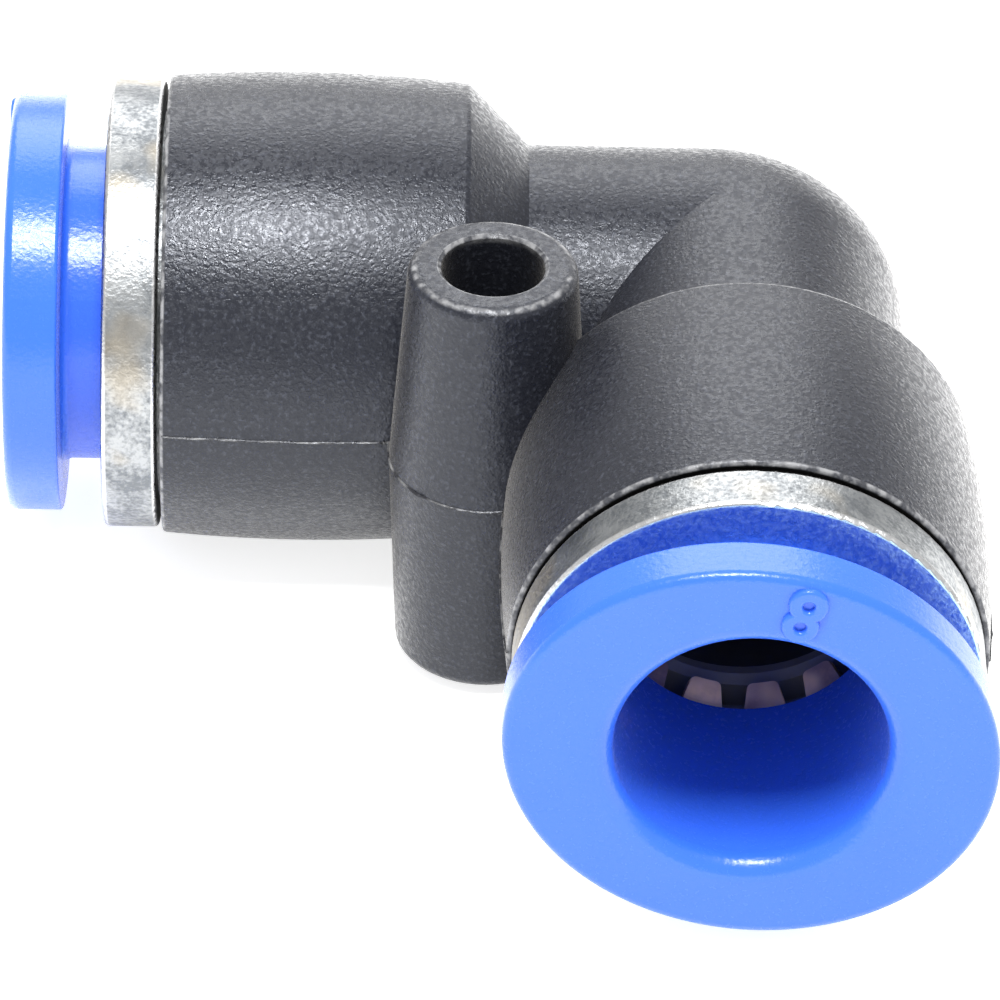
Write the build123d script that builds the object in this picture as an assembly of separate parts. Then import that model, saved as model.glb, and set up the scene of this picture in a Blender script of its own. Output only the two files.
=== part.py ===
"""Push-in union elbow for 8 mm tube: a moulded body with two tube ports at right angles and a mounting boss.

Frame: the origin is the middle of the mounting hole and +Z runs up along it. The left port faces -X and the
front port faces -Y. In every port outline, "reach" is the distance along the port's axis from the point where
the two port axes cross, and "radius" is the distance from that axis. All sizes are in millimetres.
"""

from build123d import *
from math import atan2, cos, sin, sqrt, tan
import os

# ---- driving dimensions: body ------------------------------------------------------------------------------
BOSS_OFFSET = 7.85  # from the crossing of the port axes to the mounting hole, along X and along Y

ELBOW_R = 5.27  # round section between the two sockets
ELBOW_BEND_R = 0.9  # of the elbow's centre line
SHOULDER_REACH = 6.7  # where the cone leaves the elbow
RIM_REACH = 8.62  # where the cone meets the socket
RIM_R = 7.17
BELLY_REACH = 14.0  # the socket is slightly barrelled
BELLY_R = 7.45
MOUTH_REACH = 18.1
MOUTH_R = 7.27
RIM_FILLET = 0.25
MOUTH_FILLET = 0.12

FLOW_R = 3.0
TUBE_STOP_REACH = 5.2
TUBE_BORE_R = 4.1  # the tube is 8 mm across, with 0.1 mm to spare all round
CHAMBER_REACH = 9.3  # the tube seat ends here, and the wider chamber for the inner pieces begins
CHAMBER_R = 6.15
CHAMBER_LEAD_IN = (0.6, 0.85)  # how deep and how wide the chamber's mouth is opened out

BOSS_HALF_HEIGHT = 7.1
BOSS_TOP_R = 2.6
BOSS_BOTTOM_R = 2.8
BOSS_MID_R = 3.1
BOSS_FILLET = 0.4
HOLE_R = 1.6
HOLE_CHAMFER = 0.1
WEB_WIDTH = 2.4
WEB_HEIGHT = 4.0

# ---- driving dimensions: pieces in each port ---------------------------------------------------------------
FIT_GAP = 0.03  # round the pieces that sit in the chamber
END_GAP = 0.05  # between neighbours along the port

SEAL_LENGTH = 3.5
SEAL_HEEL_R = 4.35
SEAL_LIP_R = 3.92
SEAL_LIP_TAPER = 0.3
SEAL_GROOVE = ((4.4, 5.75), (4.95, 5.35))  # radii of the groove's two sides, at its mouth and at its bottom
SEAL_GROOVE_DEPTH = 1.8

BACK_RING_BORE_R = 4.3
BACK_RING_POCKET_R = 5.6  # room for the claw teeth to spread
BACK_RING_FLOOR = 0.6
BACK_RING_CHAMFER = 0.25

CLAW_RIM_REACH = 16.15  # the rim's face towards the mouth
CLAW_SHEET = 0.25
CLAW_RIM_R = 6.0
CLAW_BEND_R = 5.27
CLAW_TIP_REACH = 14.3
CLAW_TIP_R = 3.88
CLAW_TEETH = 14
CLAW_TURN = 10.0  # degrees from the bottom of the port to the middle of one tooth
CLAW_GAP = ((5.15, 0.34), (3.5, 0.92))  # (radius, width) of the gap between two teeth, at its root and tip

RING_HEAD_REACH = 18.22  # leaves a fine shadow gap in front of the body's mouth
RING_FACE_REACH = 19.95
RING_HEAD_R = 7.12
RING_CAVITY_R = 5.62
RING_LIP_REACH = 18.4
RING_LIP_R = 5.06
RING_EDGE = 0.16

COLLAR_END_REACH = 15.3
COLLAR_NOSE_R = 4.42
COLLAR_NECK_R = 4.98
BEAD_R = 5.34
BEAD_LENGTH = 0.7
BEAD_RAMP = 0.35
FLANGE_BACK_REACH = 21.3
FLANGE_FACE_REACH = 23.0
FLANGE_LONG_R = 7.48  # the flange is oval
FLANGE_SHORT_R = 6.64
FLANGE_FRONT_EDGE = 0.28
FLANGE_BACK_EDGE = 0.1
NECK_FILLET = 0.25
BORE_LIP = 0.65
COLLAR_TURN = {"left": -35.0, "front": 16.5}  # degrees clockwise, seen from the mouth, of the whole collar

DIGIT_R = 5.46  # from the port axis up to the middle of the raised 8, which is the tube size
DIGIT_SIDE = -0.22  # the 8 stands a little to one side of the flange's short axis
DIGIT_RELIEF = 0.18
DIGIT_ROOT = 0.3
DIGIT_LOOPS = ((0.39, 0.6), (-0.39, 0.57))  # (place up the digit, outer radius) of its two loops
DIGIT_EYE_R = 0.17
DIGIT_EDGE = 0.13

# ---- worked out --------------------------------------------------------------------------------------------
CLAW_SLOPE = (CLAW_BEND_R - CLAW_TIP_R) / (CLAW_RIM_REACH - CLAW_TIP_REACH)
CLAW_BACK_REACH = CLAW_RIM_REACH - CLAW_SHEET
SEAL_REACH = CHAMBER_REACH + END_GAP
BACK_RING_REACH = SEAL_REACH + SEAL_LENGTH + END_GAP
RING_TAIL_REACH = CLAW_RIM_REACH + END_GAP
SEATED_R = CHAMBER_R - FIT_GAP

# Each port's own frame has +X out of its mouth and +Z up.
CROSSING = (BOSS_OFFSET, BOSS_OFFSET, 0)
PORTS = {"left": Location(CROSSING, (0, 0, 180)), "front": Location(CROSSING, (0, 0, -90))}


# ---- helpers -----------------------------------------------------------------------------------------------
def turned(outline):
    """Turn a closed outline of (reach, radius) points about the port axis."""
    return revolve(make_face(Polyline(*outline, close=True)), Axis.X)


def turned_upright(outline):
    """Turn a closed outline of (radius, height) points about the boss axis."""
    return revolve(make_face(Plane.XZ * Polyline(*outline, close=True)), Axis.Z)


def round_circle(solid, reach, radius, fillet_r):
    """Fillet the circular edge that lies at this reach and radius of a turned solid."""
    slack = 0.02
    edges = [
        edge
        for edge in solid.edges().filter_by(GeomType.CIRCLE)
        if abs(edge.arc_center.X - reach) < slack and abs(edge.radius - radius) < slack
    ]
    return fillet(edges, fillet_r)


# ---- body --------------------------------------------------------------------------------------------------
def socket_shell():
    """Outside of one socket: a barrelled cylinder, and a 45 degree cone down to the elbow's round section."""
    barrel = ThreePointArc((RIM_REACH, RIM_R), (BELLY_REACH, BELLY_R), (MOUTH_REACH, MOUTH_R))
    rest = Polyline(
        (MOUTH_REACH, MOUTH_R),
        (MOUTH_REACH, 0),
        (ELBOW_BEND_R, 0),
        (ELBOW_BEND_R, ELBOW_R),
        (SHOULDER_REACH, ELBOW_R),
        (RIM_REACH, RIM_R),
    )
    shell = revolve(make_face([barrel, *rest.edges()]), Axis.X)
    shell = round_circle(shell, RIM_REACH, RIM_R, RIM_FILLET)
    return round_circle(shell, MOUTH_REACH, MOUTH_R, MOUTH_FILLET)


def elbow_corner():
    """Outside of the bend: the part of the round section that lies beyond the bend's axis, turned through it."""
    reach = ELBOW_R + ELBOW_BEND_R
    beyond_axis = Pos(reach / 2 - ELBOW_BEND_R, 0) * Rectangle(reach, 2 * ELBOW_R)
    section = Plane.YZ * (Circle(ELBOW_R) & beyond_axis)
    axis = Axis((-ELBOW_BEND_R, -ELBOW_BEND_R, 0), (0, 0, 1))
    return revolve(Pos(-ELBOW_BEND_R, 0, 0) * section, axis, -90)


def socket_bore():
    """Inside of one socket: flow passage, tube seat and chamber."""
    lead_in_depth, lead_in_width = CHAMBER_LEAD_IN
    return turned(
        [
            (0, 0),
            (0, FLOW_R),
            (TUBE_STOP_REACH, FLOW_R),
            (TUBE_STOP_REACH, TUBE_BORE_R),
            (CHAMBER_REACH, TUBE_BORE_R),
            (CHAMBER_REACH, CHAMBER_R),
            (MOUTH_REACH - lead_in_depth, CHAMBER_R),
            (MOUTH_REACH, CHAMBER_R + lead_in_width),
            (MOUTH_REACH, 0),
        ]
    )


def boss():
    """Mounting boss: drafted both ways from the parting plane, more so upwards, with rounded ends."""
    solid = Part()
    for end, end_r in ((BOSS_HALF_HEIGHT, BOSS_TOP_R), (-BOSS_HALF_HEIGHT, BOSS_BOTTOM_R)):
        half = turned_upright([(0, 0), (BOSS_MID_R, 0), (end_r, end), (0, end)])
        end_edge = half.edges().filter_by(GeomType.CIRCLE).sort_by(lambda edge: abs(edge.arc_center.Z))[-1]
        solid += fillet(end_edge, BOSS_FILLET)
    return solid


def mounting_hole():
    """The through hole, with a small chamfer at each end."""
    top = BOSS_HALF_HEIGHT
    upper = turned_upright(
        [(0, 0), (HOLE_R, 0), (HOLE_R, top - HOLE_CHAMFER), (HOLE_R + HOLE_CHAMFER, top), (0, top)]
    )
    return upper + mirror(upper, Plane.XY)


def web():
    """Fills the corner between the boss and the elbow."""
    length = BOSS_OFFSET * sqrt(2)
    return Rot(0, 0, 45) * Pos(length / 2, 0, 0) * Box(length, WEB_WIDTH, WEB_HEIGHT)


def elbow_body():
    solid = boss() + web() + Pos(*CROSSING) * elbow_corner()
    for port in PORTS.values():
        solid += port * socket_shell()
    for port in PORTS.values():
        solid -= port * socket_bore()
    solid -= Pos(*CROSSING) * Sphere(FLOW_R)
    return solid - mounting_hole()


# ---- pieces in each port -----------------------------------------------------------------------------------
def tube_seal():
    """Rubber lip seal. Its groove opens to the pressure, deeper in the socket, and its inner lip grips the tube."""
    start = SEAL_REACH
    end = start + SEAL_LENGTH
    groove_end = start + SEAL_GROOVE_DEPTH
    (mouth_in, mouth_out), (bottom_in, bottom_out) = SEAL_GROOVE
    return turned(
        [
            (end, SEATED_R),
            (start, SEATED_R),
            (start, mouth_out),
            (groove_end, bottom_out),
            (groove_end, bottom_in),
            (start, mouth_in),
            (start, SEAL_LIP_R + SEAL_LIP_TAPER),
            (start + SEAL_LIP_TAPER, SEAL_LIP_R),
            (start + 2 * SEAL_LIP_TAPER, SEAL_LIP_R),
            (groove_end, SEAL_HEEL_R),
            (end, SEAL_HEEL_R),
        ]
    )


def back_ring():
    """Cup that shuts the seal in and carries the claw ring, with room inside it for the teeth to spread."""
    rim = CLAW_BACK_REACH - END_GAP
    floor = BACK_RING_REACH + BACK_RING_FLOOR
    return turned(
        [
            (BACK_RING_REACH, BACK_RING_BORE_R),
            (BACK_RING_REACH, SEATED_R),
            (rim, SEATED_R),
            (rim, BACK_RING_POCKET_R),
            (floor + BACK_RING_CHAMFER, BACK_RING_POCKET_R),
            (floor, BACK_RING_POCKET_R - BACK_RING_CHAMFER),
            (floor, BACK_RING_BORE_R + BACK_RING_CHAMFER),
            (floor - BACK_RING_CHAMFER, BACK_RING_BORE_R),
        ]
    )


def claw_gap(turn):
    """Cutter for the wedge-shaped gap between two teeth. turn is in degrees from the bottom of the port."""
    (root_r, root_width), (tip_r, tip_width) = CLAW_GAP
    outline = Polyline(
        (-root_width / 2, -root_r),
        (root_width / 2, -root_r),
        (tip_width / 2, -tip_r),
        (-tip_width / 2, -tip_r),
        close=True,
    )
    depth = 2 * (CLAW_RIM_REACH - CLAW_TIP_REACH)
    start = Pos(CLAW_TIP_REACH - depth / 2, 0, 0)
    return Rot(turn, 0, 0) * start * extrude(Plane.YZ * make_face(outline), 2 * depth, dir=(1, 0, 0))


def lock_claw():
    """Stamped spring ring: a flat rim, and teeth bent in and away from the mouth."""
    slope = atan2(CLAW_SLOPE, 1)
    tip_back_reach = CLAW_TIP_REACH - CLAW_SHEET * sin(slope)
    tip_back_r = CLAW_TIP_R + CLAW_SHEET * cos(slope)
    bend_back_r = tip_back_r + (CLAW_BACK_REACH - tip_back_reach) * tan(slope)
    claw = turned(
        [
            (CLAW_RIM_REACH, CLAW_RIM_R),
            (CLAW_RIM_REACH, CLAW_BEND_R),
            (CLAW_TIP_REACH, CLAW_TIP_R),
            (tip_back_reach, tip_back_r),
            (CLAW_BACK_REACH, bend_back_r),
            (CLAW_BACK_REACH, CLAW_RIM_R),
        ]
    )
    pitch = 360 / CLAW_TEETH
    for index in range(CLAW_TEETH):
        claw -= claw_gap(CLAW_TURN + (index + 0.5) * pitch)
    return claw


def guide_ring():
    """Metal ring: its tail is pressed into the mouth, and its inner lip keeps the collar's bead in."""
    ring = turned(
        [
            (RING_TAIL_REACH, RING_CAVITY_R),
            (RING_TAIL_REACH, SEATED_R),
            (RING_HEAD_REACH, SEATED_R),
            (RING_HEAD_REACH, RING_HEAD_R),
            (RING_FACE_REACH, RING_HEAD_R),
            (RING_FACE_REACH, RING_LIP_R),
            (RING_LIP_REACH, RING_LIP_R),
            (RING_LIP_REACH, RING_CAVITY_R),
        ]
    )
    ring = round_circle(ring, RING_HEAD_REACH, RING_HEAD_R, RING_EDGE)
    ring = round_circle(ring, RING_FACE_REACH, RING_HEAD_R, RING_EDGE)
    return round_circle(ring, RING_FACE_REACH, RING_LIP_R, RING_EDGE)


def flange():
    """Oval plate to push on, with softened edges. Its short axis points up."""
    outline = Ellipse(FLANGE_LONG_R, FLANGE_SHORT_R) - Circle(TUBE_BORE_R)
    thickness = FLANGE_FACE_REACH - FLANGE_BACK_REACH
    plate = Pos(FLANGE_BACK_REACH, 0, 0) * extrude(Plane.YZ * outline, thickness)
    for end, edge_r in ((0, FLANGE_BACK_EDGE), (-1, FLANGE_FRONT_EDGE)):
        rims = plate.edges().filter_by(GeomType.ELLIPSE).sort_by(Axis.X)
        plate = fillet(rims[end], edge_r)
    return plate


def raised_digit():
    """The figure 8 on the collar's face: two loops that stand a little proud, with softened edges."""
    figure = Sketch()
    for place, radius in DIGIT_LOOPS:
        figure += Pos(0, place) * Circle(radius)
    for place, _ in DIGIT_LOOPS:
        figure -= Pos(0, place) * Circle(DIGIT_EYE_R)
    raised = extrude(Plane.YZ * Pos(DIGIT_SIDE, DIGIT_R) * figure, DIGIT_ROOT + DIGIT_RELIEF)
    raised = fillet(raised.faces().sort_by(Axis.X)[-1].edges(), DIGIT_EDGE)
    return Pos(FLANGE_FACE_REACH - DIGIT_ROOT, 0, 0) * raised


def release_collar():
    """Plastic collar: an oval flange, a neck through the guide ring, a snap bead, and a nose for the teeth."""
    bead_end = RING_LIP_REACH - 2 * END_GAP
    bead_start = bead_end - BEAD_LENGTH
    nose_end = COLLAR_END_REACH + (COLLAR_NECK_R - COLLAR_NOSE_R) / CLAW_SLOPE
    neck = turned(
        [
            (COLLAR_END_REACH, TUBE_BORE_R),
            (COLLAR_END_REACH, COLLAR_NOSE_R),
            (nose_end, COLLAR_NECK_R),
            (bead_start - BEAD_RAMP, COLLAR_NECK_R),
            (bead_start, BEAD_R),
            (bead_end, BEAD_R),
            (bead_end, COLLAR_NECK_R),
            (FLANGE_BACK_REACH, COLLAR_NECK_R),
            (FLANGE_BACK_REACH, TUBE_BORE_R),
        ]
    )
    collar = neck + flange()
    collar = round_circle(collar, FLANGE_BACK_REACH, COLLAR_NECK_R, NECK_FILLET)
    collar = round_circle(collar, FLANGE_FACE_REACH, TUBE_BORE_R, BORE_LIP)
    return collar + raised_digit()


# ---- write one file per piece ------------------------------------------------------------------------------
PORT_PIECES = {
    "tube_seal": tube_seal,
    "back_ring": back_ring,
    "lock_claw": lock_claw,
    "guide_ring": guide_ring,
}

os.makedirs("parts", exist_ok=True)
export_step(elbow_body(), "parts/elbow_body.step")
for side, port in PORTS.items():
    for name, make in PORT_PIECES.items():
        export_step(port * make(), f"parts/{side}_{name}.step")
    turned_collar = Rot(-COLLAR_TURN[side], 0, 0) * release_collar()
    export_step(port * turned_collar, f"parts/{side}_release_collar.step")
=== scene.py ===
"""Looks for the push-in elbow: studio, materials, the sprung lock claws and the body's parting line."""

import bmesh
import bpy
from math import cos, hypot, pi, radians, sin, sqrt
from mathutils import Matrix, Vector, noise


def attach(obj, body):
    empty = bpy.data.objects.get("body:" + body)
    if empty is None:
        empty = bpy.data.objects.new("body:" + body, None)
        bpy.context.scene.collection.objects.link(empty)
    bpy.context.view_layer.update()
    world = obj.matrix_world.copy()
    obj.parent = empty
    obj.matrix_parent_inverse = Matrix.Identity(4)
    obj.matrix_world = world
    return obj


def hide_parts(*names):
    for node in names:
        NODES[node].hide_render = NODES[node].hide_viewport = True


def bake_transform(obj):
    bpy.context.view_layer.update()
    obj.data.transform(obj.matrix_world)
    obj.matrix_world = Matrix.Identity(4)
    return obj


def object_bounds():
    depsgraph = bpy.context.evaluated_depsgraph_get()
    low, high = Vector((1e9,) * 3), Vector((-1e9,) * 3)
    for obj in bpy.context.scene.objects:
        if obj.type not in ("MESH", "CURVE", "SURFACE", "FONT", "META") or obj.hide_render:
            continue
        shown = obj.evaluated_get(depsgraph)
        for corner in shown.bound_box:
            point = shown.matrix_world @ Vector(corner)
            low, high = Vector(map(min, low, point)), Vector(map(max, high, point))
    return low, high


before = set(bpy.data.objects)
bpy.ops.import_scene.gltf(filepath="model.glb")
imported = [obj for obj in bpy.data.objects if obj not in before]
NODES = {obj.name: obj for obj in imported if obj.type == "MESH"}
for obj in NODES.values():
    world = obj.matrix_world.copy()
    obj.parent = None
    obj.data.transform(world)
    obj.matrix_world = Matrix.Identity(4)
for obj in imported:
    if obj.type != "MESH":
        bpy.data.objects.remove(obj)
CAD_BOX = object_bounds()
MM = 0.001
UP = Vector((0, 0, 1))

# ---- shape shared with the CAD, in millimetres. A reach is measured from the crossing out of a port --------
CROSSING = Vector((7.85, 7.85, 0.0))  # where the two port axes meet
PORTS = {"left": Vector((-1, 0, 0)), "front": Vector((0, -1, 0))}  # the way each port faces
MOUTH_REACH = 18.1
RIM_REACH = 8.62  # the rear rim of each socket
BOSS_HALF_HEIGHT = 7.1
BOSS_EDGE_R = 2.42  # of the boss's top, on its rounded edge
HOLE_R = 1.6
RING_HEAD_REACH = 18.22  # the guide ring's head runs from here to its face
RING_FACE_REACH = 19.95

CLAW_RIM_REACH = 16.15  # the rim's face towards the mouth
CLAW_RIM_R = 6.0
CLAW_BEND_R = 5.27
CLAW_TIP_REACH = 14.3
CLAW_TIP_R = 3.88
CLAW_SHEET = 0.22  # a little thinner than the CAD's 0.25, so that it clears the back ring at full travel
CLAW_TEETH = 14
CLAW_TURN = radians(10.0)  # from the bottom of the port to the middle of one tooth

# ---- claw details, in millimetres --------------------------------------------------------------------------
TOOTH_ROOT_WIDTH = 1.92
TOOTH_TIP_WIDTH = 0.92
TOOTH_CORNER = 0.16
TOOTH_LENGTH = hypot(CLAW_BEND_R - CLAW_TIP_R, CLAW_RIM_REACH - CLAW_TIP_REACH)
# shares of the way from a tooth's tip to its root, close together where it bends and where its corners are
TOOTH_ROWS = (0.86, 0.84, 0.82, 0.80, 0.78, 0.7, 0.55, 0.4, 0.28, 0.16, 0.10, 0.06, 0.03, 0.01, 0.0)
TOOTH_COLUMNS = 8
GAP_COLUMNS = 3
RIM_PROFILE = (  # (depth behind the rim's face, radius), from the rim's edge round the bend
    (0.0, CLAW_RIM_R),
    (0.0, CLAW_BEND_R + 0.2),
    (0.04, CLAW_BEND_R + 0.05),
    (0.14, CLAW_BEND_R - 0.09),
)
FLEX_DEPTHS = (0.27, 0.40)  # behind the rim's face: from here to here along the teeth

# ---- parting line, in millimetres --------------------------------------------------------------------------
BOSS_SECTION_R = (2.4, 3.3)  # the boss's outside at the parting plane lies between these
SOCKET_SECTION_R = (6.6, 8.0)  # and a socket's between these, from its own axis
ELBOW_INSIDE_R = 4.6  # and the elbow's beyond this, from either axis
FLASH_STEP = 0.12  # along the ridge
FLASH_ROOT = 0.06  # the ridge starts this far under the surface
FLASH_HEIGHT = (0.05, 0.07)  # the least, and the most that noise adds to it
FLASH_HALF_WIDTH = (0.045, 0.03)  # the mean, and how far noise takes it either way
FLASH_WANDER = 0.02  # up and down

# ---- places that the materials pick out, in millimetres ----------------------------------------------------
GLOSSIEST_PLACE = (-8.4, 3.5, 6.1)  # on the left socket
# a glint is painted on the tooth here
GLINT_TOOTH = (6.7, -7.1, -4.2)  # in the front port
OFF_BOSS_R = (3.6, 4.0)  # outside the boss
PORT_BEGINS = (5.0, 6.0)  # reaches
SKIN_R = (6.9, 7.1)  # a socket's outer skin lies beyond these, from its axis
# within these, behind the mouth, the body is painted black as shade
LEAD_IN_R = (7.1, 7.16)  # the lead-in of a mouth lies within these
LEAD_IN_DEPTHS = (0.7, 0.65)  # behind the mouth

# ---- studio ------------------------------------------------------------------------------------------------
CAMERA_TARGET = Vector((0.457, 4.343, -4.946)) * MM
CAMERA_DISTANCE = 264.5 * MM
CAMERA_AZIMUTH = radians(-0.764)
CAMERA_ELEVATION = radians(36.089)
CAMERA_ROLL = radians(1.542)
CAMERA_LENS = 299.0  # on a 36 mm sensor
WORLD_STRENGTH = 0.85
FLOOR_HALF_SIDE = 6.0  # metres


def add_object(name, data):
    added = bpy.data.objects.new(name, data)
    bpy.context.scene.collection.objects.link(added)
    return added


def make_camera():
    data = bpy.data.cameras.new("camera")
    data.lens = CAMERA_LENS
    data.sensor_width = 36.0
    data.clip_start, data.clip_end = 0.01, 10.0
    camera = add_object("camera", data)
    turn = Matrix.Rotation(CAMERA_AZIMUTH, 4, "Z") @ Matrix.Rotation(pi / 2 - CAMERA_ELEVATION, 4, "X")
    turn = turn @ Matrix.Rotation(CAMERA_ROLL, 4, "Z")
    back = Matrix.Translation((0, 0, CAMERA_DISTANCE))
    camera.matrix_world = Matrix.Translation(CAMERA_TARGET) @ turn @ back
    bpy.context.scene.camera = camera


def make_world(strength):
    world = bpy.data.worlds.new("studio")
    world.use_nodes = True
    background = world.node_tree.nodes["Background"]
    background.inputs["Color"].default_value = (1.0, 1.0, 1.0, 1.0)
    background.inputs["Strength"].default_value = strength
    bpy.context.scene.world = world


def make_light(name, azimuth, elevation, distance, size, power):
    """A square soft box that faces the object. Azimuth 0 is the camera's side and 90 is +X."""
    data = bpy.data.lights.new(name, "AREA")
    data.size = size
    data.energy = power
    light = add_object(name, data)
    a, e = radians(azimuth), radians(elevation)
    way = Vector((sin(a) * cos(e), -cos(a) * cos(e), sin(e)))
    light.location = way * distance
    light.rotation_euler = way.to_track_quat("Z", "Y").to_euler()
    light.visible_camera = False


def make_floor(low, half_side):
    mesh = bpy.data.meshes.new("floor")
    corners = [(-1, -1), (1, -1), (1, 1), (-1, 1)]
    mesh.from_pydata([(x * half_side, y * half_side, low) for x, y in corners], [], [(0, 1, 2, 3)])
    mesh.materials.append(floor_material())
    add_object("floor", mesh)


# ---- material tools ----------------------------------------------------------------------------------------
class Shader:
    """One node material, built up with short calls. Places are in millimetres in the object's own frame."""

    def __init__(self, name, **constants):
        self.material = bpy.data.materials.new(name)
        self.material.use_nodes = True
        self.nodes = self.material.node_tree.nodes
        self.links = self.material.node_tree.links
        self.surface = self.nodes["Principled BSDF"]
        for socket, value in constants.items():
            self.surface.inputs[socket.replace("_", " ")].default_value = value
        place = self.nodes.new("ShaderNodeTexCoord")
        scale = self.nodes.new("ShaderNodeVectorMath")
        scale.operation = "SCALE"
        scale.inputs["Scale"].default_value = 1 / MM
        self.links.new(place.outputs["Object"], scale.inputs[0])
        self.place = scale.outputs["Vector"]

    def set(self, socket, value):
        self.links.new(value, self.surface.inputs[socket])

    def feed(self, socket, value):
        if isinstance(value, (int, float)):
            socket.default_value = value
        elif isinstance(value, tuple):
            socket.default_value = (*value, 1.0)[: len(socket.default_value)]
        else:
            self.links.new(value, socket)

    def axes(self):
        node = self.nodes.new("ShaderNodeSeparateXYZ")
        self.links.new(self.place, node.inputs[0])
        return node.outputs

    def noise(self, per_mm, detail=2.0, rough=0.5):
        node = self.nodes.new("ShaderNodeTexNoise")
        node.inputs["Scale"].default_value = per_mm
        node.inputs["Detail"].default_value = detail
        node.inputs["Roughness"].default_value = rough
        self.links.new(self.place, node.inputs["Vector"])
        return node.outputs["Fac"]

    def math(self, operation, a, b=0.0, c=0.0):
        node = self.nodes.new("ShaderNodeMath")
        node.operation = operation
        for socket, value in zip(node.inputs, (a, b, c)):
            self.feed(socket, value)
        return node.outputs[0]

    def span(self, value, low, high, to_low=0.0, to_high=1.0):
        """Carry value from low..high to to_low..to_high, held at both ends."""
        node = self.nodes.new("ShaderNodeMapRange")
        node.inputs["From Min"].default_value = low
        node.inputs["From Max"].default_value = high
        node.inputs["To Min"].default_value = to_low
        node.inputs["To Max"].default_value = to_high
        self.links.new(value, node.inputs["Value"])
        return node.outputs["Result"]

    def mix(self, share, a, b):
        node = self.nodes.new("ShaderNodeMix")
        node.data_type = "RGBA"
        colours = [s for s in node.inputs if s.type == "RGBA"]
        self.feed(node.inputs[0], share)
        self.feed(colours[0], a)
        self.feed(colours[1], b)
        return [s for s in node.outputs if s.type == "RGBA"][0]

    def bump(self, height, depth_mm, strength=1.0):
        node = self.nodes.new("ShaderNodeBump")
        node.inputs["Strength"].default_value = strength
        node.inputs["Distance"].default_value = depth_mm * MM
        self.links.new(height, node.inputs["Height"])
        self.set("Normal", node.outputs["Normal"])

    def radius(self, a, b):
        """Distance from the line where both coordinates are 0."""
        return self.math("SQRT", self.math("MULTIPLY_ADD", a, a, self.math("MULTIPLY", b, b)))

    def near_place(self, place, inner, outer):
        """1 within inner of a place, falling to 0 at outer from it."""
        node = self.nodes.new("ShaderNodeVectorMath")
        node.operation = "DISTANCE"
        self.links.new(self.place, node.inputs[0])
        node.inputs[1].default_value = place
        return self.span(node.outputs["Value"], inner, outer, 1.0, 0.0)

    def near_value(self, value, middle, inner, outer):
        """1 where value is within inner of middle, falling to 0 at outer from it."""
        off = self.math("ABSOLUTE", self.math("SUBTRACT", value, middle))
        return self.span(off, inner, outer, 1.0, 0.0)


# ---- materials ---------------------------------------------------------------------------------------------
def floor_material():
    """A lit white tabletop."""
    shader = Shader("floor_table", Roughness=0.9, Emission_Strength=0.8)
    paper = shader.mix(shader.noise(0.05, 3.0), (0.90, 0.90, 0.90), (0.93, 0.93, 0.925))
    shader.set("Base Color", paper)
    shader.set("Emission Color", paper)
    shader.bump(shader.noise(2.0, 4.0), 0.02, 0.3)
    return shader.material


def body_masks(shader):
    """Painted highlight lines along the body's edges, and painted shade that leaves its hole and its mouths'
    lead-ins black.
    """
    x, y, z = shader.axes()
    boss_r = shader.radius(x, y)
    off_boss = shader.span(boss_r, *OFF_BOSS_R)
    top = shader.span(z, BOSS_HALF_HEIGHT - 0.3, BOSS_HALF_HEIGHT - 0.1)
    # painted highlight lines along the top edge of the boss and the rim of its hole
    outer_edge = shader.near_value(boss_r, BOSS_EDGE_R, 0.03, 0.12)
    hole_edge = shader.near_value(boss_r, HOLE_R + 0.05, 0.03, 0.1)
    painted_edge_highlight = shader.math("MULTIPLY", top, shader.math("MAXIMUM", outer_edge, hole_edge))
    # painted shade: the hole is painted black
    painted_shade = shader.span(boss_r, HOLE_R - 0.1, HOLE_R + 0.03, 1.0, 0.0)
    for along, across, rims in (
        (x, y, (MOUTH_REACH - 0.05,)),
        (y, x, (MOUTH_REACH - 0.05, RIM_REACH)),
    ):
        reach = shader.math("SUBTRACT", CROSSING.x, along)
        off_axis = shader.radius(shader.math("SUBTRACT", across, CROSSING.x), z)
        skin = shader.math("MULTIPLY", off_boss, shader.span(off_axis, *SKIN_R))
        for rim in rims:
            # painted highlight lines round the mouths, and round the front socket's rear rim
            painted_rim_highlight = shader.math("MULTIPLY", skin, shader.near_value(reach, rim, 0.03, 0.08))
            painted_edge_highlight = shader.math("MAXIMUM", painted_edge_highlight, painted_rim_highlight)
        # painted shade: the lead-in inside each mouth is painted black
        bore = shader.span(off_axis, *LEAD_IN_R, 1.0, 0.0)
        bore = shader.math("MULTIPLY", shader.span(reach, *PORT_BEGINS), bore)
        bore = shader.math("MULTIPLY", bore, off_boss)
        lead_in = shader.span(reach, *(MOUTH_REACH - depth for depth in LEAD_IN_DEPTHS))
        painted_shade = shader.math("MAXIMUM", painted_shade, shader.math("MULTIPLY", lead_in, bore))
    uneven = shader.span(shader.noise(3.0, 2.0), 0.40, 0.60, 0.1, 0.75)
    return shader.math("MULTIPLY", painted_edge_highlight, uneven), painted_shade


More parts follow.
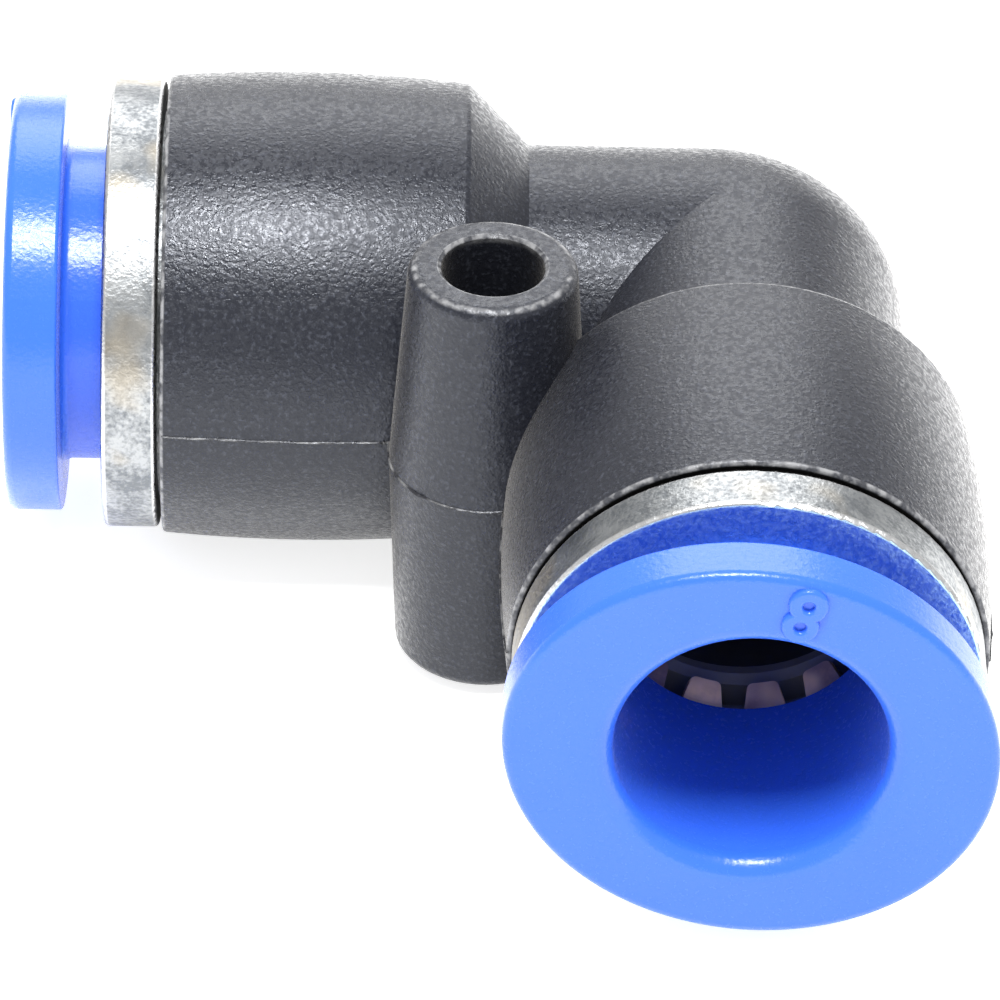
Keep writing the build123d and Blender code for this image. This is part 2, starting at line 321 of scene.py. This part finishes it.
def body_plastic(flash=False):
    """Black moulded plastic. Its fine spark-eroded grain glitters, and highlights are painted lighter along
    its edges. Painted shade leaves its hole and its mouths' lead-ins black.

    With flash it is the paler, patchy plastic of the parting line.
    """
    shader = Shader(
        "body_flash" if flash else "body_plastic",
        IOR=1.5,
        Specular_Tint=(0.90, 0.93, 1.0, 1.0),
        Sheen_Weight=0.11,
        Sheen_Roughness=0.3,
        Sheen_Tint=(1.0, 0.95, 0.88, 1.0),
    )
    grain = shader.noise(7.5, 3.0, 0.6)
    painted_edge_highlight, painted_shade = body_masks(shader)
    if flash:
        patches = shader.span(shader.noise(1.6, 2.0), 0.46, 0.70)
        base = shader.mix(patches, (0.02, 0.02, 0.023), (0.19, 0.19, 0.19))
    else:
        black = shader.mix(shader.noise(0.3, 3.0), (0.0090, 0.0100, 0.0150), (0.0130, 0.0140, 0.0190))
        speckled = shader.mix(shader.span(grain, 0.54, 0.68), black, (0.034, 0.037, 0.048))
        # highlights painted lighter along the edges
        base = shader.mix(painted_edge_highlight, speckled, (0.30, 0.30, 0.305))
    # the painted shade is black
    shader.set("Base Color", shader.mix(painted_shade, base, (0.002, 0.002, 0.002)))
    polish = shader.near_place(GLOSSIEST_PLACE, 1.0, 5.5)
    gloss = shader.span(polish, 0.0, 1.0, 0.36, 0.50)
    # where shade is painted, the reflection is turned down too
    shader.set("Specular IOR Level", shader.math("MULTIPLY", gloss, shader.span(painted_shade, 0.0, 1.0, 1.0, 0.05)))
    rough = shader.span(shader.noise(6.0, 1.0), 0.38, 0.62, 0.44, 0.20)
    shader.set("Roughness", shader.math("MULTIPLY_ADD", polish, -0.06, rough))
    shader.bump(grain, 0.030)
    return shader.material


def plated_metal():
    """Nickel plating with a fine grain and creamy stains, with highlights painted on its chamfers and a blue
    reflection of the collar painted on its face.
    """
    shader = Shader("plated_metal", Metallic=1.0)
    x, y, _ = shader.axes()
    grain = shader.noise(6.5, 2.0, 0.6)
    blotch = shader.noise(0.7, 3.0, 0.6)
    stain = shader.span(shader.noise(0.33, 2.0), 0.55, 0.66)
    tone = shader.math("MULTIPLY_ADD", shader.math("SUBTRACT", grain, 0.5), 0.7, blotch)
    plated = shader.mix(shader.span(tone, 0.34, 0.66), (0.15, 0.16, 0.17), (0.33, 0.34, 0.345))
    plated = shader.mix(shader.math("MULTIPLY", stain, 0.6), plated, (0.38, 0.335, 0.26))
    painted_chamfer_highlight = 0.0
    # painted highlights on the chamfers at both ends of the ring's head
    for axis in (x, y):
        reach = shader.math("SUBTRACT", CROSSING.x, axis)
        for edge in (RING_HEAD_REACH + 0.08, RING_FACE_REACH - 0.08):
            painted_chamfer_highlight = shader.math("MAXIMUM", painted_chamfer_highlight, shader.near_value(reach, edge, 0.04, 0.09))
        # painted reflection: the ring's face is tinted blue, as the collar reflected in it
        face = shader.near_value(reach, RING_FACE_REACH, 0.01, 0.02)
        plated = shader.mix(face, plated, (0.42, 0.66, 0.86))
    shader.set("Base Color", shader.mix(shader.math("MULTIPLY", painted_chamfer_highlight, 0.8), plated, (0.62, 0.62, 0.62)))
    rough = shader.span(grain, 0.3, 0.7, 0.50, 0.30)
    shader.set("Roughness", shader.math("MULTIPLY_ADD", painted_chamfer_highlight, -0.08, rough))
    shader.bump(grain, 0.03, 0.7)
    return shader.material


def blue_plastic():
    """Glossy blue acetal."""
    shader = Shader(
        "blue_plastic",
        IOR=1.48,
        Specular_IOR_Level=0.42,
        Sheen_Weight=0.05,
        Sheen_Roughness=0.35,
    )
    cloud = shader.noise(0.4, 3.0)
    grain = shader.noise(6.0, 3.0, 0.6)
    shader.set("Base Color", shader.mix(cloud, (0.026, 0.112, 0.62), (0.032, 0.124, 0.68)))
    shader.set("Roughness", shader.span(grain, 0.3, 0.7, 0.30, 0.18))
    shader.bump(grain, 0.022, 0.7)
    return shader.material


def spring_metal():
    """Stamped sheet whose coppery tone changes from tooth to tooth, with a glint painted pale on one tooth.
    """
    shader = Shader("spring_metal")
    blotch = shader.noise(2.6, 3.0, 0.6)
    cast_and_glint = shader.span(shader.noise(0.45, 2.0), 0.48, 0.62, 0.0, 0.6)
    # painted glint: one tooth is made pale and not metallic
    cast_and_glint = shader.math("MAXIMUM", shader.near_place(GLINT_TOOTH, 0.5, 1.4), cast_and_glint)
    copper = shader.mix(cast_and_glint, (0.34, 0.23, 0.20), (1.0, 0.68, 0.44))
    stained = shader.mix(shader.span(blotch, 0.5, 0.66, 0.0, 0.3), copper, (0.60, 0.38, 0.26))
    shader.set("Base Color", stained)
    shader.set("Metallic", shader.span(cast_and_glint, 0.0, 1.0, 0.85, 0.0))
    shader.set("Roughness", shader.span(blotch, 0.3, 0.7, 0.62, 0.45))
    shader.bump(shader.noise(8.0, 3.0), 0.01, 0.4)
    return shader.material


def inner_plastic():
    """Grey plastic of the back rings."""
    shader = Shader("inner_plastic", IOR=1.5)
    cloud = shader.noise(0.6, 3.0)
    shader.set("Base Color", shader.mix(cloud, (0.15, 0.15, 0.16), (0.19, 0.19, 0.20)))
    shader.set("Roughness", shader.span(cloud, 0.3, 0.7, 0.6, 0.45))
    shader.bump(shader.noise(6.0, 2.0), 0.01, 0.3)
    return shader.material


def seal_rubber():
    """Matt black rubber."""
    shader = Shader("seal_rubber", IOR=1.5)
    cloud = shader.noise(0.8, 4.0)
    shader.set("Base Color", shader.mix(cloud, (0.022, 0.022, 0.023), (0.036, 0.036, 0.037)))
    shader.set("Roughness", shader.span(cloud, 0.3, 0.7, 0.75, 0.55))
    shader.bump(shader.noise(9.0, 3.0), 0.01, 0.4)
    return shader.material


FINISHES = {
    "elbow_body": body_plastic,
    "guide_ring": plated_metal,
    "release_collar": blue_plastic,
    "lock_claw": spring_metal,
    "back_ring": inner_plastic,
    "tube_seal": seal_rubber,
}


def dress_nodes():
    """Give every CAD node its material. Returns the materials by the ends of the nodes' names."""
    materials = {ending: make() for ending, make in FINISHES.items()}
    for name, node in NODES.items():
        material = next(m for ending, m in materials.items() if name.endswith(ending))
        node.data.materials.clear()
        node.data.materials.append(material)
    return materials


# ---- mesh tools --------------------------------------------------------------------------------------------
def join_rows(bm, a, b, closed=False):
    """Faces between two rows of vertices."""
    for i in range(len(a) if closed else len(a) - 1):
        j = (i + 1) % len(a)
        bm.faces.new((a[i], a[j], b[j], b[i]))


def link_mesh(name, bm, material, sharp):
    """A smooth-shaded object from bm, with creases where faces meet at more than sharp."""
    mesh = bpy.data.meshes.new(name)
    bmesh.ops.recalc_face_normals(bm, faces=bm.faces)
    bm.to_mesh(mesh)
    bm.free()
    mesh.polygons.foreach_set("use_smooth", [True] * len(mesh.polygons))
    mesh.set_sharp_from_angle(angle=sharp)
    mesh.materials.append(material)
    return add_object(name, mesh)


# ---- lock claws --------------------------------------------------------------------------------------------
def tooth_half_width(left):
    """Half the width of a tooth at this distance from its tip, with rounded corners."""
    half = (TOOTH_TIP_WIDTH + (TOOTH_ROOT_WIDTH - TOOTH_TIP_WIDTH) * left / TOOTH_LENGTH) / 2
    if left < TOOTH_CORNER:
        half -= TOOTH_CORNER - sqrt(TOOTH_CORNER**2 - (TOOTH_CORNER - left) ** 2)
    return half


def tooth_angles(middle, half):
    """Angles across a tooth, from one side to the other."""
    return [middle + half * (2 * i / TOOTH_COLUMNS - 1) for i in range(TOOTH_COLUMNS + 1)]


def claw_face(out):
    """The claw ring's face towards the mouth: a flat rim, a rounded bend, and the teeth."""
    across = UP.cross(out)
    bm = bmesh.new()

    def row(reach, radius, angles):
        # the angles run from the bottom of the port, anticlockwise seen from its mouth
        spokes = [across * sin(angle) - UP * cos(angle) for angle in angles]
        return [bm.verts.new((CROSSING + out * reach + spoke * radius) * MM) for spoke in spokes]

    pitch = 2 * pi / CLAW_TEETH
    root_half = TOOTH_ROOT_WIDTH / 2 / CLAW_BEND_R
    gap = pitch - 2 * root_half
    middles = [CLAW_TURN + tooth * pitch for tooth in range(CLAW_TEETH)]
    round_ring = []
    for middle in middles:
        round_ring += tooth_angles(middle, root_half)
        round_ring += [middle + root_half + gap * i / GAP_COLUMNS for i in range(1, GAP_COLUMNS)]
    rim = [row(CLAW_RIM_REACH - depth, radius, round_ring) for depth, radius in RIM_PROFILE]
    for outer, inner in zip(rim, rim[1:]):
        join_rows(bm, outer, inner, closed=True)
    for tooth, middle in enumerate(middles):
        start = tooth * (TOOTH_COLUMNS + GAP_COLUMNS)
        last = rim[-1][start : start + TOOTH_COLUMNS + 1]
        for share in TOOTH_ROWS:
            reach = CLAW_TIP_REACH + (CLAW_RIM_REACH - CLAW_TIP_REACH) * share
            radius = CLAW_TIP_R + (CLAW_BEND_R - CLAW_TIP_R) * share
            angles = tooth_angles(middle, tooth_half_width(share * TOOTH_LENGTH) / radius)
            following = row(reach, radius, angles)
            join_rows(bm, last, following)
            last = following
    return bm


def lock_claw(side, material):
    """Stamped claw ring, in place of the CAD's claw, which is hidden."""
    out = PORTS[side]
    bm = claw_face(out)
    bmesh.ops.recalc_face_normals(bm, faces=bm.faces)
    away = 1 if bm.faces[0].normal.dot(out) > 0 else -1
    bmesh.ops.solidify(bm, geom=bm.faces[:], thickness=away * CLAW_SHEET * MM)
    claw = link_mesh(f"{side}_claw_ring", bm, material, radians(35))
    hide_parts(f"{side}_lock_claw")
    start, end = ((CROSSING + out * (CLAW_RIM_REACH - depth)) * MM for depth in FLEX_DEPTHS)
    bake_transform(claw)
    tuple(start)
    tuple(end)


# ---- parting line ------------------------------------------------------------------------------------------
def port_coordinates(place):
    """For each port: how far out along its axis a place is, and the vector to it from that axis."""
    from_crossing = place - CROSSING
    reaches = [from_crossing.dot(out) for out in PORTS.values()]
    return [(reach, from_crossing - out * reach) for reach, out in zip(reaches, PORTS.values())]


def on_outside(place):
    """Whether a point of the body's section at its parting plane lies on its outside."""
    ports = port_coordinates(place)
    boss_inside, boss_outside = BOSS_SECTION_R
    socket_inside, socket_outside = SOCKET_SECTION_R
    if max(reach for reach, _ in ports) > MOUTH_REACH - 0.05:
        return False
    if place.length < boss_outside:
        return place.length > boss_inside
    for reach, off_axis in ports:
        if reach > RIM_REACH and off_axis.length < socket_outside:
            return off_axis.length > socket_inside
    return min(off_axis.length for _, off_axis in ports) > ELBOW_INSIDE_R


def outward(place):
    """Roughly away from the body's material, for a point on the outside of its parting section."""
    if place.length < BOSS_SECTION_R[1]:
        return place
    reach, off_axis = max(port_coordinates(place), key=lambda port: port[0])
    return off_axis if reach > 0 else place - CROSSING


def section_neighbours(node):
    """The body's outline at the parting plane: each point, in millimetres, with the points next to it."""
    bm = bmesh.new()
    bm.from_mesh(node.data)
    everything = bm.verts[:] + bm.edges[:] + bm.faces[:]
    cut = bmesh.ops.bisect_plane(bm, geom=everything, plane_co=(0, 0, 0), plane_no=UP)
    neighbours = {}
    for edge in cut["geom_cut"]:
        if not isinstance(edge, bmesh.types.BMEdge):
            continue
        a, b = (tuple(round(c / MM, 3) for c in vertex.co) for vertex in edge.verts)
        if a != b and on_outside((Vector(a) + Vector(b)) / 2):
            neighbours.setdefault(a, set()).add(b)
            neighbours.setdefault(b, set()).add(a)
    bm.free()
    return neighbours


def section_chains(neighbours):
    """The outline's points in order, as separate chains."""
    loose_ends = sorted(point for point in neighbours if len(neighbours[point]) == 1)
    chains = []
    seen = set()
    for start in loose_ends + sorted(neighbours):
        chain = []
        onward = [] if start in seen else [start]
        while onward:
            chain.append(onward[0])
            seen.add(onward[0])
            onward = sorted(neighbours[onward[0]] - seen)
        if len(chain) > 2:
            chains.append([Vector(point) for point in chain])
    return chains


def resample(chain, step):
    """Points along a chain at an even step."""
    points = [chain[0]]
    spare = 0.0
    for a, b in zip(chain, chain[1:]):
        length = (b - a).length
        along = step - spare
        while along < length:
            points.append(a.lerp(b, along / length))
            along += step
        spare = length - (along - step)
    return points + [chain[-1]]


def flash_outline(point, off):
    """Places round the ridge of flash at one point. off is the direction out of the body."""
    low, high = (Vector(corner) / MM for corner in CAD_BOX)
    least, extra = FLASH_HEIGHT
    height = least + extra * max(noise.noise(point * 2.1), 0.0)
    mean, swing = FLASH_HALF_WIDTH
    half = mean + swing * noise.noise(point * 1.3 + Vector((9, 0, 0)))
    lift = FLASH_WANDER * noise.noise(point * 0.8 + Vector((0, 7, 0)))
    profile = (
        (-FLASH_ROOT, -half),
        (height * 0.7, -half * 0.5),
        (height, 0.0),
        (height * 0.7, half * 0.5),
        (-FLASH_ROOT, half),
    )
    for out, up in profile:
        place = point + off * out + UP * (up + lift)
        place.x = min(max(place.x, low.x), high.x)
        place.y = min(max(place.y, low.y), high.y)
        yield place


def parting_line(material):
    """The fine uneven line of flash round the body where the two halves of the mould met."""
    bm = bmesh.new()
    for chain in section_chains(section_neighbours(NODES["elbow_body"])):
        points = resample(chain, FLASH_STEP)
        rings = []
        for before, point, after in zip(points[:1] + points, points, points[1:] + points[-1:]):
            off = (after - before).normalized().cross(UP)
            if off.dot(outward(point)) < 0:
                off = -off
            rings.append([bm.verts.new(place * MM) for place in flash_outline(point, off)])
        for a, b in zip(rings, rings[1:]):
            join_rows(bm, a, b, closed=True)
        bm.faces.new(rings[0][::-1])
        bm.faces.new(rings[-1])
    ridge = link_mesh("body_parting_line", bm, material, radians(60))
    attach(ridge, "fitting")


# ---- the scene ---------------------------------------------------------------------------------------------
bpy.context.scene.view_settings.view_transform = "Standard"
make_camera()
make_world(WORLD_STRENGTH)
make_light("overhead", azimuth=-5, elevation=74, distance=0.6, size=0.18, power=5.5)
make_light("behind", azimuth=180, elevation=38, distance=0.6, size=0.40, power=2.0)
make_floor(CAD_BOX[0].z, FLOOR_HALF_SIDE)

materials = dress_nodes()
for side in PORTS:
    lock_claw(side, materials["lock_claw"])
parting_line(body_plastic(flash=True))
